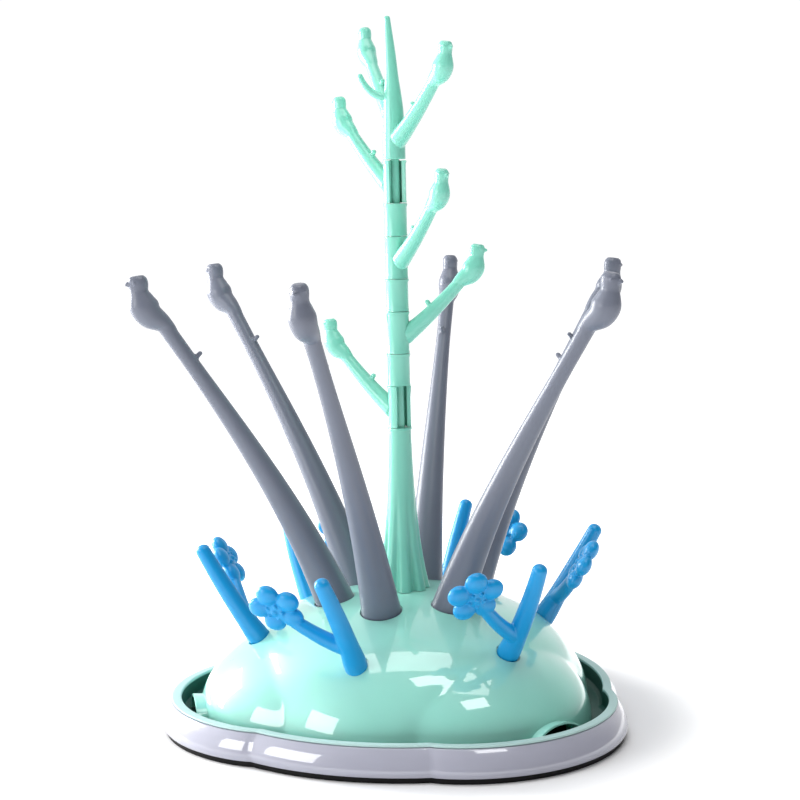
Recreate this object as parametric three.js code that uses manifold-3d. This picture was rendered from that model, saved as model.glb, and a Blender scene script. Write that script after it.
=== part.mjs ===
// Tree-shaped bottle drying rack: a lobed drip tray, a domed drainer, six bottle poles and six
// flower twigs plugged into the dome, and a central trunk with clip-on branches.
// Millimetres, +Z up. The origin is on the floor, on the trunk's axis.
// An azimuth is in degrees, 0 towards -Y and growing towards +X.
import * as THREE from 'three';
import { mergeVertices } from 'three/addons/utils/BufferGeometryUtils.js';
import Module from 'manifold-3d';

// ---- driving dimensions ----
const GAP = 0.3; // clearance between pieces that touch
const STATION_COUNT = 6; // poles and twigs stand in six stations, 60 degrees apart
const BASE_SEGMENTS = 60;

// The outline of tray and dome: three small lobes and three big ones, meeting in soft kinks.
const SMALL_LOBE_HALF_ANGLE = 24;
const BIG_LOBE_HALF_ANGLE = 60 - SMALL_LOBE_HALF_ANGLE;
const BIG_LOBE_AZIMUTHS = [60, 180, 300];
const BIG_LOBE_POWER = 0.8;
const TRAY_LOBES = { big: 0.131, small: -0.01 };

const FOOT_HEIGHT = 3.9;
const FOOT_OUTER_RADIUS = 121.5;
const FOOT_WIDTH = 8;
const TRAY_BOTTOM = FOOT_HEIGHT + GAP;
const TRAY_RADIUS = 123.6; // at the lower edge, in a kink
const TRAY_RIM_RADIUS = 117.9;
const TRAY_WALL = 2.2;
const TRAY_TOP = 17.6;
const BASIN_WALL = 1.6;
const BASIN_TOP = 19;
const BASIN_RIM_INNER_RADIUS = 113.4;

const DOME_HEIGHT = 74.6;
const DOME_BOTTOM = 8.5;
const DOME_WALL = 2.2;
const CROWN_RADIUS = 100; // of the round crown, at its lower edge
const CROWN_POWER = 2.6;
// The dome's bulges: the azimuth of the first of three, their distance from the trunk's axis, their size.
const BIG_BULGE = { azimuth: 60, distance: 44, radius: 74, height: 49.8 };
const SMALL_BULGE = { azimuth: 0, distance: 30, radius: 76, height: 55 };
const BULGE_BLEND = 1.4;
const NOTCH_HALF_WIDTH = 17;
const NOTCH_TOP = 18.5;
const NOTCH_INNER_RADIUS = 95; // the notch's cut runs outwards from here
const NOTCH_CUT = 40;
const HOOD_WALL = 2; // the raised lip round each notch
const HOOD_INNER_RADIUS = 112.3;
const HOOD_OUTER_RADIUS = 121.5;

// Each socket: its distance from the trunk's axis, the height of its mouth, its lean outwards, its plug.
const SOCKET_WALL = 1.9;
const TRUNK_SOCKET = { distance: 0, mouth: DOME_HEIGHT, lean: 0, plugRadius: 8, plugLength: 18 };
const POLE_SOCKET = { distance: 40, mouth: 70, lean: 0, plugRadius: 6.9, plugLength: 17 };
const TWIG_SOCKET = { distance: 84, mouth: 51.7, lean: 35, plugRadius: 4.2, plugLength: 11 };

const POLE_TILT = 21; // of the pole's foot, outwards from the vertical
const POLE_TURNS = [-1.4, 10.2, 19, 6.1, 12.4, 1.8]; // how far each pole is turned in its socket
const POLE_BASE_RADIUS = 10.9;
const POLE_TIP_RADIUS = 4.5;
const TWIG_TURNS = [12, -4, 0, 0, 0, 0]; // the same for each twig
const TWIG_BASE_RADIUS = 6.2;

const TRUNK_RADIUS = 6.3;
const TRUNK_NECK_RADIUS = 3.9;
const TRUNK_FOOT_RADIUS = 15;
const TRUNK_TAPER_TOP = 166.6;
const CLIP_PITCH = 42;
const CLIP_HEIGHT = 24; // of the necks that take the clips
const CLIP_COUNT = 4;
const CLIP_MOUTH_ANGLE = 110;
const CLIP_AZIMUTHS = [257, 107, 52, 241]; // lowest branch first
const SPIGOT = { radius: 2.5, length: 11 };
const TOP_BRANCH_AZIMUTHS = [57, 218];
const TOP_BRANCH_ROOTS = [13, 27]; // above the foot of the tree top
const TOP_SHOOT_AZIMUTH = 288; // the tip leans this way too
const TOP_SHOOT_ROOT = 33;
const TOP_LEAN = 4.7;
const TREE_TOP = 395.6;
const LARGE_BIRD_SCALE = 1.3;

// ---- materials ----
const plastic = (color) => new THREE.MeshStandardMaterial({ color, roughness: 0.22, metalness: 0 });
const MINT = plastic(0x96e6cd);
const GREY = plastic(0x969ba8);
const PALE_GREY = plastic(0xb9b9c8);
const BLUE = plastic(0x3ca0e6);
const RUBBER = new THREE.MeshStandardMaterial({ color: 0x17181c, roughness: 0.8, metalness: 0 });

// ---- solids ----
const wasm = await Module();
wasm.setup();

function solid(geometry) {
  const bare = geometry.index ? geometry.toNonIndexed() : geometry.clone();
  for (const name of Object.keys(bare.attributes)) {
    if (name !== 'position') bare.deleteAttribute(name);
  }
  const merged = mergeVertices(bare, 1e-4);
  return new wasm.Manifold(new wasm.Mesh({
    numProp: 3,
    vertProperties: new Float32Array(merged.attributes.position.array),
    triVerts: new Uint32Array(merged.index.array),
  }));
}

function geometryOf(manifold) {
  const mesh = manifold.getMesh();
  const geometry = new THREE.BufferGeometry();
  geometry.setAttribute('position', new THREE.BufferAttribute(mesh.vertProperties, 3));
  geometry.setIndex(new THREE.BufferAttribute(mesh.triVerts, 1));
  return geometry;
}

const radians = THREE.MathUtils.degToRad;
const vector = (x, y, z) => new THREE.Vector3(x, y, z);

function direction(azimuth) {
  return vector(Math.sin(radians(azimuth)), -Math.cos(radians(azimuth)), 0);
}

// A profile of [radius, height] pairs turned about Z.
function latheZ(profile, segments) {
  const points = profile.map(([radius, height]) => new THREE.Vector2(radius, height));
  return new THREE.LatheGeometry(points, segments).rotateX(Math.PI / 2);
}

function moveVertices(geometry, move) {
  const position = geometry.attributes.position;
  const point = new THREE.Vector3();
  for (let i = 0; i < position.count; i++) {
    point.fromBufferAttribute(position, i);
    move(point);
    position.setXYZ(i, point.x, point.y, point.z);
  }
  return geometry;
}

// A [radius, distance along] profile turned about a curve: a tapered stem with shaped ends.
function stem(curve, profile, segments, sideways) {
  const length = curve.getLength();
  const straight = latheZ(profile.map(([radius, part]) => [radius, part * length]), segments);
  return moveVertices(straight, (point) => {
    const part = THREE.MathUtils.clamp(point.z / length, 0, 1);
    const along = curve.getTangentAt(part);
    const side = sideways.clone().addScaledVector(along, -sideways.dot(along)).normalize();
    const up = along.clone().cross(side);
    const overshoot = point.z - part * length;
    const centre = curve.getPointAt(part).addScaledVector(along, overshoot);
    point.copy(centre.addScaledVector(side, point.x).addScaledVector(up, point.y));
  });
}

function ellipsoid(centre, halfSizes, widthSegments, heightSegments, tilt = 0) {
  return new THREE.SphereGeometry(1, widthSegments, heightSegments)
    .rotateX(Math.PI / 2)
    .scale(...halfSizes)
    .rotateY(radians(tilt))
    .translate(...centre);
}

// ---- the lobed outline ----
function lobeFactor(azimuth, lobes) {
  const turn = THREE.MathUtils.euclideanModulo(azimuth, 120);
  const fromSmall = Math.min(turn, 120 - turn);
  if (fromSmall <= SMALL_LOBE_HALF_ANGLE) {
    return 1 + lobes.small * Math.cos(radians(90 * fromSmall / SMALL_LOBE_HALF_ANGLE));
  }
  const part = Math.max(0, Math.cos(radians(90 * (60 - fromSmall) / BIG_LOBE_HALF_ANGLE)));
  return 1 + lobes.big * part ** BIG_LOBE_POWER;
}

function azimuthOf(point) {
  return THREE.MathUtils.radToDeg(Math.atan2(point.x, -point.y));
}

function lobed(geometry) {
  return moveVertices(geometry, (point) => {
    const scale = lobeFactor(azimuthOf(point), TRAY_LOBES);
    point.x *= scale;
    point.y *= scale;
  });
}

// ---- tray ----
function footRing() {
  const inner = FOOT_OUTER_RADIUS - FOOT_WIDTH;
  const profile = [[inner, 0], [FOOT_OUTER_RADIUS, 0], [FOOT_OUTER_RADIUS + 0.6, FOOT_HEIGHT],
    [inner, FOOT_HEIGHT], [inner, 0]];
  return lobed(latheZ(profile, BASE_SEGMENTS));
}

function trayShell() {
  const floorTop = TRAY_BOTTOM + 2;
  const profile = [
    [0, TRAY_BOTTOM],
    [TRAY_RADIUS - 2, TRAY_BOTTOM],
    [TRAY_RADIUS, TRAY_BOTTOM + 1.6],
    [TRAY_RADIUS - 0.9, 10.5],
    [TRAY_RADIUS - 3.2, 14.6],
    [TRAY_RIM_RADIUS, TRAY_TOP],
    [TRAY_RIM_RADIUS - TRAY_WALL, TRAY_TOP],
    [TRAY_RADIUS - 3.4 - TRAY_WALL, 11],
    [TRAY_RADIUS - 2.6 - TRAY_WALL, floorTop],
    [0, floorTop],
  ];
  return lobed(latheZ(profile, BASE_SEGMENTS));
}

const BASIN_FLOOR = TRAY_BOTTOM + 2 + GAP;

function dripBasin() {
  const wallOuter = TRAY_RIM_RADIUS - TRAY_WALL - GAP;
  const profile = [
    [0, BASIN_FLOOR],
    [wallOuter - 1.5, BASIN_FLOOR],
    [wallOuter, BASIN_FLOOR + 1.5],
    [wallOuter, TRAY_TOP + GAP],
    [TRAY_RIM_RADIUS + 0.5, TRAY_TOP + GAP],
    [TRAY_RIM_RADIUS + 0.1, BASIN_TOP],
    [BASIN_RIM_INNER_RADIUS, BASIN_TOP],
    [BASIN_RIM_INNER_RADIUS - 0.2, BASIN_FLOOR + 3],
    [BASIN_RIM_INNER_RADIUS - 2, BASIN_FLOOR + BASIN_WALL],
    [0, BASIN_FLOOR + BASIN_WALL],
  ];
  return lobed(latheZ(profile, BASE_SEGMENTS));
}

// ---- dome ----
function crownRadius(height) {
  const part = THREE.MathUtils.clamp((height - DOME_BOTTOM) / (DOME_HEIGHT - DOME_BOTTOM), 0, 1);
  return CROWN_RADIUS * Math.sqrt(1 - part ** CROWN_POWER);
}

const BULGES = [0, 120, 240].flatMap((turn) => [BIG_BULGE, SMALL_BULGE].map(
  (bulge) => ({ ...bulge, azimuth: bulge.azimuth + turn }),
));

// The dome is a round crown with ellipsoidal bulges that swell out of it, one for each lobe.
function domeRadius(azimuth, height) {
  let radius = crownRadius(height);
  for (const bulge of BULGES) {
    const level = bulge.radius * Math.sqrt(1 - ((height - DOME_BOTTOM) / bulge.height) ** 2);
    const away = radians(azimuth - bulge.azimuth);
    const reach = level ** 2 - (bulge.distance * Math.sin(away)) ** 2;
    if (!(reach > 0) || Math.cos(away) < 0) continue;
    const surface = bulge.distance * Math.cos(away) + Math.sqrt(reach);
    radius = (radius + surface + Math.hypot(radius - surface, BULGE_BLEND)) / 2;
  }
  return radius;
}

function bulged(geometry) {
  return moveVertices(geometry, (point) => {
    if (point.z >= DOME_BOTTOM + SMALL_BULGE.height) return;
    const scale = domeRadius(azimuthOf(point), point.z) / crownRadius(point.z);
    point.x *= scale;
    point.y *= scale;
  });
}

const DOME_LEVELS = [DOME_BOTTOM, 17, 26, 34, 41, 46.5, 51, 55, 61, 66, 70, 73.2];
const DOME_PROFILE = DOME_LEVELS.map((height) => [crownRadius(height), height]);

// The dome's outer profile, moved along its normals: inwards for a positive depth.
function domeProfile(depth) {
  const top = [[0, DOME_HEIGHT - depth]];
  const moved = DOME_PROFILE.map(([radius, height], i, all) => {
    const before = all[Math.max(i - 1, 0)];
    const after = all[i + 1] ?? [0, DOME_HEIGHT];
    const run = Math.hypot(after[0] - before[0], after[1] - before[1]);
    const inward = [(after[1] - before[1]) / run, -(after[0] - before[0]) / run];
    const bottom = i === 0 ? height : height - inward[1] * depth;
    return [radius - inward[0] * depth, bottom];
  });
  return moved.concat(top);
}

// The dome as a filled body, which cuts the undersides of everything that stands on it.
function domeFilled(depth) {
  const profile = [[0, DOME_BOTTOM], ...domeProfile(depth)];
  return solid(bulged(latheZ(profile, BASE_SEGMENTS)));
}

const STATIONS = Array.from({ length: STATION_COUNT }, (_, i) => 60 * i);
const SOCKETS = [
  [0, TRUNK_SOCKET],
  ...STATIONS.map((azimuth) => [azimuth, POLE_SOCKET]),
  ...STATIONS.map((azimuth) => [azimuth, TWIG_SOCKET]),
];

// A cylinder on a socket's axis, between two distances from the socket's mouth.
function onSocket([azimuth, socket], radius, from, to) {
  const profile = [[0, from], [radius, from], [radius, to], [0, to]];
  const cylinder = latheZ(profile, 10)
    .rotateY(radians(socket.lean))
    .translate(socket.distance, 0, socket.mouth)
    .rotateZ(radians(azimuth - 90));
  return solid(cylinder);
}

// An arched bar that lies along a radius.
function archBar(azimuth, halfWidth, top, sill, from, length) {
  const arch = new THREE.Shape();
  const shoulder = halfWidth * 0.85;
  arch.moveTo(-halfWidth, sill);
  arch.lineTo(halfWidth, sill);
  arch.quadraticCurveTo(shoulder, top, 0, top);
  arch.quadraticCurveTo(-shoulder, top, -halfWidth, sill);
  const bar = new THREE.ExtrudeGeometry(arch, { depth: length, bevelEnabled: false, curveSegments: 6 });
  bar.rotateX(Math.PI / 2).translate(0, -from, 0).rotateZ(radians(azimuth));
  return solid(bar);
}

// A notch through the dome's skirt at the middle of each big lobe, and the hood round it.
function notch(azimuth) {
  return archBar(azimuth, NOTCH_HALF_WIDTH, NOTCH_TOP, DOME_BOTTOM - 2, NOTCH_INNER_RADIUS, NOTCH_CUT);
}

function hood(azimuth) {
  const length = HOOD_OUTER_RADIUS - HOOD_INNER_RADIUS;
  const halfWidth = NOTCH_HALF_WIDTH + HOOD_WALL;
  return archBar(azimuth, halfWidth, NOTCH_TOP + HOOD_WALL, DOME_BOTTOM, HOOD_INNER_RADIUS, length);
}

function drainerDome() {
  const outer = domeProfile(0);
  const inner = domeProfile(DOME_WALL).reverse();
  const profile = [...outer, ...inner, outer[0]];
  let dome = solid(bulged(latheZ(profile, BASE_SEGMENTS)));
  const inside = domeFilled(DOME_WALL / 2);
  for (const azimuth of BIG_LOBE_AZIMUTHS) dome = dome.add(hood(azimuth));
  for (const socket of SOCKETS) {
    const { plugRadius, plugLength } = socket[1];
    const tube = onSocket(socket, plugRadius + GAP + SOCKET_WALL, -plugLength - 1, 12);
    dome = dome.add(tube.intersect(inside));
  }
  for (const socket of SOCKETS) {
    const { plugRadius, plugLength } = socket[1];
    dome = dome.subtract(onSocket(socket, plugRadius + GAP, -plugLength - 3, 12));
  }
  for (const azimuth of BIG_LOBE_AZIMUTHS) dome = dome.subtract(notch(azimuth));
  return geometryOf(dome);
}

const DOME_CLEARANCE = domeFilled(-GAP);

// ---- birds ----
// A small perching songbird: its breast faces +X and it stands on the stem's end at the origin.
function bird(scale) {
  const sideways = vector(0, 1, 0);
  const tail = new THREE.LineCurve3(vector(7, 0, 9), vector(-4.5, 0, 2.2));
  const beak = new THREE.LineCurve3(vector(13, 0, 18.6), vector(17, 0, 18.4));
  return solid(ellipsoid([8.9, 0, 8.4], [6.6, 5, 9.6], 9, 7, 14))
    .add(solid(ellipsoid([10.7, 0, 18], [4.9, 3.6, 4.9], 8, 5)))
    .add(solid(stem(tail, [[0, 0], [4.4, 0], [2.2, 0.75], [1.5, 1], [0, 1]], 6, sideways)))
    .add(solid(stem(beak, [[0, 0], [1.9, 0], [0.5, 1], [0, 1]], 4, sideways)))
    .scale([scale, scale, scale]);
}

// A small round bud on the upper side of a stem, at a part of its length.
function bud(curve, part, reach) {
  const root = curve.getPointAt(part);
  const along = curve.getTangentAt(part);
  const tip = root.clone().addScaledVector(vector(-along.z, 0, along.x), reach).addScaledVector(along, 1.5);
  const knob = new THREE.LineCurve3(root, tip);
  return solid(stem(knob, [[0, 0], [1.7, 0], [1.5, 0.85], [0.8, 1], [0, 1]], 5, vector(0, 1, 0)));
}

// ---- poles ----
// Every stem is made in the XZ plane, leaning to +X, and then turned to its azimuth.
const POLE_END = vector(131, 0, 230);
const POLE_PERCH = vector(129.5, 0, 228); // where the bird stands

function birdPole(azimuth, turn) {
  const { distance, mouth } = POLE_SOCKET;
  const axis = vector(Math.sin(radians(POLE_TILT)), 0, Math.cos(radians(POLE_TILT)));
  const start = vector(distance, 0, mouth).addScaledVector(axis, -8);
  const shoulder = start.clone().addScaledVector(axis, 65);
  const curve = new THREE.CubicBezierCurve3(start, shoulder, vector(94, 0, 174), POLE_END);
  const [base, tip] = [POLE_BASE_RADIUS, POLE_TIP_RADIUS];
  const profile = [[0, 0], [base + 0.6, 0], [base, 0.05], [base * 0.86, 0.18], [base * 0.72, 0.35],
    [tip * 1.3, 0.6], [tip, 0.82], [tip, 0.985], [tip * 0.7, 1], [0, 1.01]];
  const pole = solid(stem(curve, profile, 10, vector(0, 1, 0)))
    .add(bird(LARGE_BIRD_SCALE).translate(POLE_PERCH.toArray()))
    .add(bud(curve, 0.87, tip + 2.6));
  const turned = pole.translate([-distance, 0, 0]).rotate([0, 0, turn]).translate([distance, 0, 0]);
  const standing = turned.rotate([0, 0, azimuth - 90]).subtract(DOME_CLEARANCE);
  return geometryOf(standing.add(plugOf(azimuth, POLE_SOCKET)));
}

function plugOf(azimuth, socket) {
  const { plugRadius, plugLength } = socket;
  return onSocket([azimuth, socket], plugRadius, -plugLength, 1.5);
}

// ---- flower twigs ----
const STICK_TIP = vector(114.5, -5.5, 104);
const FLOWER_CENTRE = vector(96, -35, 88.5);
const PETAL_COUNT = 5;
const PETAL_DISTANCE = 10;

// A flower lying in the XY plane, one petal towards +X, alike on both faces.
function flower() {
  let shape = solid(ellipsoid([0, 0, 0], [6.8, 6.8, 3.6], 8, 4));
  for (let i = 0; i < PETAL_COUNT; i++) {
    const angle = 2 * Math.PI * i / PETAL_COUNT;
    const centre = [PETAL_DISTANCE * Math.cos(angle), PETAL_DISTANCE * Math.sin(angle), 0];
    shape = shape.add(solid(ellipsoid(centre, [5.7, 5.7, 4.5], 8, 4)));
  }
  return shape.add(solid(ellipsoid([0, 0, 0], [2.6, 2.6, 5], 6, 4)));
}

function flowerTwig(azimuth, turn) {
  const { distance, mouth, lean } = TWIG_SOCKET;
  const foot = vector(distance, 0, mouth);
  const axis = vector(Math.sin(radians(lean)), 0, Math.cos(radians(lean)));
  const start = foot.clone().addScaledVector(axis, -6);
  const stick = new THREE.QuadraticBezierCurve3(start, foot.clone().addScaledVector(axis, 22), STICK_TIP);
  const stickProfile = [[0, 0], [TWIG_BASE_RADIUS, 0], [TWIG_BASE_RADIUS, 0.14], [5.4, 0.32], [4.8, 0.65],
    [4.1, 0.93], [3.2, 0.985], [1.6, 1.02], [0, 1.03]];
  const fork = stick.getPointAt(0.24);
  const stalk = new THREE.QuadraticBezierCurve3(fork, vector(92, -15, 68), FLOWER_CENTRE);
  const stalkProfile = [[0, 0], [3.9, 0], [3.6, 0.5], [3.1, 0.95], [0, 0.95]];
  const toFork = fork.clone().sub(FLOWER_CENTRE);
  const facing = STICK_TIP.clone().sub(FLOWER_CENTRE).cross(toFork).normalize();
  const across = facing.clone().cross(toFork).normalize();
  const flat = new THREE.Matrix4().makeBasis(across.clone().cross(facing), across, facing);
  const twig = solid(stem(stick, stickProfile, 8, vector(0, 1, 0)))
    .add(solid(stem(stalk, stalkProfile, 7, vector(1, 0, 0))))
    .add(flower().transform(flat.setPosition(FLOWER_CENTRE).toArray()));
  const turned = twig.translate([-foot.x, 0, -foot.z]).rotate([0, -lean, 0])
    .rotate([0, 0, turn]).rotate([0, lean, 0]).translate([foot.x, 0, foot.z]);
  const standing = turned.rotate([0, 0, azimuth - 90]).subtract(DOME_CLEARANCE);
  return geometryOf(standing.add(plugOf(azimuth, TWIG_SOCKET)));
}

// ---- trunk ----
const NECK_BOTTOMS = Array.from({ length: CLIP_COUNT }, (_, i) => TRUNK_TAPER_TOP + CLIP_PITCH * i);
const TRUNK_TOP = NECK_BOTTOMS[CLIP_COUNT - 1] + CLIP_HEIGHT;
const FLUTE_COUNT = 8;

function fluted(geometry) {
  return moveVertices(geometry, (point) => {
    const depth = 0.2 * (1 - THREE.MathUtils.smoothstep(point.z, 74, 125));
    const angle = radians(azimuthOf(point));
    const groove = Math.abs(Math.cos(FLUTE_COUNT / 2 * angle)) ** 3;
    const radius = Math.hypot(point.x, point.y);
    const scale = radius > TRUNK_RADIUS - 0.1 ? 1 - depth * groove : 1;
    point.x *= scale;
    point.y *= scale;
  });
}

function trunk() {
  const taper = [[0, 70], [TRUNK_FOOT_RADIUS, 70], [TRUNK_FOOT_RADIUS, 75], [13.4, 82], [11.8, 92],
    [10.2, 104], [8.9, 116], [7.4, 134], [6.6, 150], [TRUNK_RADIUS, TRUNK_TAPER_TOP],
    [0, TRUNK_TAPER_TOP]];
  const column = [[0, TRUNK_TAPER_TOP - 2]];
  for (const bottom of NECK_BOTTOMS) {
    if (bottom > TRUNK_TAPER_TOP) column.push([TRUNK_RADIUS, bottom]);
    column.push([TRUNK_NECK_RADIUS, bottom], [TRUNK_NECK_RADIUS, bottom + CLIP_HEIGHT]);
    if (bottom + CLIP_HEIGHT < TRUNK_TOP) column.push([TRUNK_RADIUS, bottom + CLIP_HEIGHT]);
  }
  column[1] = [TRUNK_NECK_RADIUS, TRUNK_TAPER_TOP - 2];
  column.push([SPIGOT.radius, TRUNK_TOP], [SPIGOT.radius, TRUNK_TOP + SPIGOT.length]);
  column.push([0, TRUNK_TOP + SPIGOT.length]);
  const foot = solid(fluted(latheZ(taper, 24))).subtract(DOME_CLEARANCE);
  return geometryOf(foot.add(solid(latheZ(column, 12))).add(plugOf(0, TRUNK_SOCKET)));
}

// ---- branches ----
const BRANCH_END = vector(35.2, 0, 27.4); // from the middle of the clip
const BRANCH_PERCH = vector(34.2, 0, 26.2);

function branchStem() {
  const curve = new THREE.QuadraticBezierCurve3(vector(4.6, 0, -1.5), vector(19, 0, 9.5), BRANCH_END);
  const profile = [[0, 0], [4.6, 0], [4.1, 0.3], [3.5, 0.7], [3.2, 0.98], [0, 1.02]];
  return solid(stem(curve, profile, 8, vector(0, 1, 0)))
    .add(bird(1).translate(BRANCH_PERCH.toArray()))
    .add(bud(curve, 0.52, 7));
}

// The clip is a C: it wraps the trunk's neck and its mouth faces away from the branch.
function clipRing() {
  const half = CLIP_HEIGHT / 2 - GAP;
  const start = 180 + CLIP_MOUTH_ANGLE / 2;
  const end = 540 - CLIP_MOUTH_ANGLE / 2;
  const shape = new THREE.Shape();
  shape.absarc(0, 0, TRUNK_RADIUS, radians(start), radians(end), false);
  shape.absarc(0, 0, TRUNK_NECK_RADIUS + GAP, radians(end), radians(start), true);
  const ring = new THREE.ExtrudeGeometry(shape, { depth: 2 * half, bevelEnabled: false, curveSegments: 9 });
  return solid(ring.translate(0, 0, -half));
}

function branch(azimuth, height) {
  const bore = solid(latheZ([[0, -20], [TRUNK_NECK_RADIUS + GAP, -20],
    [TRUNK_NECK_RADIUS + GAP, 20], [0, 20]], 12));
  const whole = clipRing().add(branchStem()).subtract(bore);
  return geometryOf(whole.rotate([0, 0, azimuth - 90]).translate([0, 0, height]));
}

// ---- tree top ----
function treeTop() {
  const bottom = TRUNK_TOP + GAP;
  const lean = direction(TOP_SHOOT_AZIMUTH);
  const tip = vector(0, 0, TREE_TOP - 0.5).addScaledVector(lean, TOP_LEAN);
  const curve = new THREE.CatmullRomCurve3([
    vector(0, 0, bottom),
    vector(0, 0, bottom + 28),
    vector(0, 0, bottom + 50).addScaledVector(lean, 0.8),
    tip,
  ]);
  const profile = [[0, 0], [TRUNK_RADIUS, 0], [TRUNK_RADIUS, 0.06], [5.5, 0.28], [4, 0.52],
    [3.3, 0.74], [2.4, 0.9], [1.7, 0.985], [0.9, 1], [0, 1.005]];
  let top = solid(stem(curve, profile, 12, vector(0, 1, 0)));
  TOP_BRANCH_AZIMUTHS.forEach((azimuth, i) => {
    const root = bottom + TOP_BRANCH_ROOTS[i];
    top = top.add(branchStem().rotate([0, 0, azimuth - 90]).translate([0, 0, root]));
  });
  const root = vector(0, 0, bottom + TOP_SHOOT_ROOT);
  const shoot = new THREE.QuadraticBezierCurve3(
    root,
    root.clone().addScaledVector(lean, 11),
    root.clone().addScaledVector(lean, 17).add(vector(0, 0, 11)),
  );
  const shootProfile = [[0, 0], [2.6, 0], [2, 0.5], [1.6, 0.95], [0, 1.02]];
  top = top.add(solid(stem(shoot, shootProfile, 8, direction(TOP_SHOOT_AZIMUTH + 90))));
  const boreTop = bottom + SPIGOT.length + GAP;
  const boreRadius = SPIGOT.radius + GAP;
  const bore = latheZ([[0, bottom - 1], [boreRadius, bottom - 1], [boreRadius, boreTop], [0, boreTop]], 12);
  return geometryOf(top.subtract(solid(bore)));
}

// ---- the rack ----
const rack = new THREE.Group();

function place(name, geometry, material) {
  const mesh = new THREE.Mesh(geometry, material);
  mesh.name = name;
  rack.add(mesh);
}

place('foot_ring', footRing(), RUBBER);
place('tray_shell', trayShell(), PALE_GREY);
place('drip_basin', dripBasin(), MINT);
place('drainer_dome', drainerDome(), MINT);
place('trunk', trunk(), MINT);
place('tree_top', treeTop(), MINT);
STATIONS.forEach((azimuth, i) => {
  place(`bird_pole_${i + 1}`, birdPole(azimuth, POLE_TURNS[i]), GREY);
  place(`flower_twig_${i + 1}`, flowerTwig(azimuth, TWIG_TURNS[i]), BLUE);
});
CLIP_AZIMUTHS.forEach((azimuth, i) => {
  const height = NECK_BOTTOMS[i] + CLIP_HEIGHT / 2;
  place(`bird_branch_${i + 1}`, branch(azimuth, height), MINT);
});

export default rack;
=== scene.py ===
"""The looks of the tree-shaped bottle drying rack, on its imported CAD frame.

Lengths are in millimetres until a mesh is made, and the studio is in metres. Azimuths are in
degrees, 0 towards -Y and growing towards +X.
"""
import math

import bpy
import numpy as np
from mathutils import Matrix, Quaternion, Vector


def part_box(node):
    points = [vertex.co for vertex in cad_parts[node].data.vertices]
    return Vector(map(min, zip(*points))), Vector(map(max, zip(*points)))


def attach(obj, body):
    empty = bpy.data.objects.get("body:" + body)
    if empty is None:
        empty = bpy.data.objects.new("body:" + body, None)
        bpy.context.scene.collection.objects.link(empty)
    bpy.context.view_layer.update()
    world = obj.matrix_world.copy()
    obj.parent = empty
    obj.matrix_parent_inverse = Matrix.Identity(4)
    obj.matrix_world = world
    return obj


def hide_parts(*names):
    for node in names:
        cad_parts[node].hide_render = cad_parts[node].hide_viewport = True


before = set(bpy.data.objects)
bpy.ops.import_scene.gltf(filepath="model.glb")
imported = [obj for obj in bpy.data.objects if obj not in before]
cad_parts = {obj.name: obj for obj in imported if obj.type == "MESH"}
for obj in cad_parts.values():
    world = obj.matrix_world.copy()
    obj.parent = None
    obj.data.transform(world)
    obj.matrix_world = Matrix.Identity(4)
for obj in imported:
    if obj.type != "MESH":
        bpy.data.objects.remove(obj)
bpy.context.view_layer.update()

MM = 0.001
GAP = 0.3  # between pieces that touch

# ---- the frame's dimensions ----
STATIONS = [60 * i for i in range(6)]  # azimuths of the poles and of the twigs
BIG_LOBES = [60, 180, 300]
SMALL_LOBE_HALF = 24
BIG_LOBE_HALF = 60 - SMALL_LOBE_HALF
TRAY_LOBES = (0.131, -0.01)  # how much the big and the small lobes swell

AXIS = 0.01  # the radius at which a turned outline stops short of the axis
MIDWAY = 60  # the radius of an extra ring of points in a floor

FOOT_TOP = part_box("foot_ring")[1].z / MM
FOOT_INNER = 113.5
FOOT_OUTER = 121.6
TRAY_BOTTOM, TRAY_TOP = (corner.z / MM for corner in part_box("tray_shell"))
TRAY_RADIUS = 123.6  # where it is widest, between two lobes
TRAY_RIM = 117.9
TRAY_RIM_WIDTH = 2.2
TRAY_FLOOR = TRAY_BOTTOM + 2
SKIRT = 0.9  # how far the tray's wall reaches down over the foot band
BASIN_FLOOR, BASIN_TOP = (corner.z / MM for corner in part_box("drip_basin"))
BASIN_WALL_INNER = 113.4
BASIN_SHEET = 1.6

DOME_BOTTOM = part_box("drainer_dome")[0].z / MM
DOME_HEIGHT = 74.6
DOME_RISE = DOME_HEIGHT - DOME_BOTTOM
CROWN_RADIUS = 100
CROWN_POWER = 2.6
DOME_WALL = 2.2
# azimuth of the first of three, distance of the centre from the trunk's axis, radius, height
BULGES = [(60, 44, 74, 49.8), (0, 30, 76, 55)]
BULGE_BLEND = 1.2
NOTCH_HALF_WIDTH = 16.5
NOTCH_TOP = 18.5
ARCH_POWER = 0.85  # below 1 it makes an arch fuller than a half ellipse
SOCKET_WALL = 2.2

POLE_TURNS = [-1.4, 10.2, 19, 6.1, 12.4, 1.8]
POLE_FOOT = np.array([40.0, 0, 70])
POLE_LEAN = 21
POLE_PLUG = (6.9, 17)  # radius, length
POLE_RECESS = 11.9
TWIG_TURNS = [12, -4, 0, 0, 0, 0]
TWIG_FOOT = np.array([84.0, 0, 51.7])
TWIG_LEAN = 35
TWIG_PLUG = (4.2, 11)
TWIG_RECESS = 7.0
RECESS_DEPTH = 1.9  # of the shallow recesses that the poles and twigs stand in
SINK = 0.8  # how far their feet reach into the recesses
TRUNK_PLUG = (8, 18)

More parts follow.
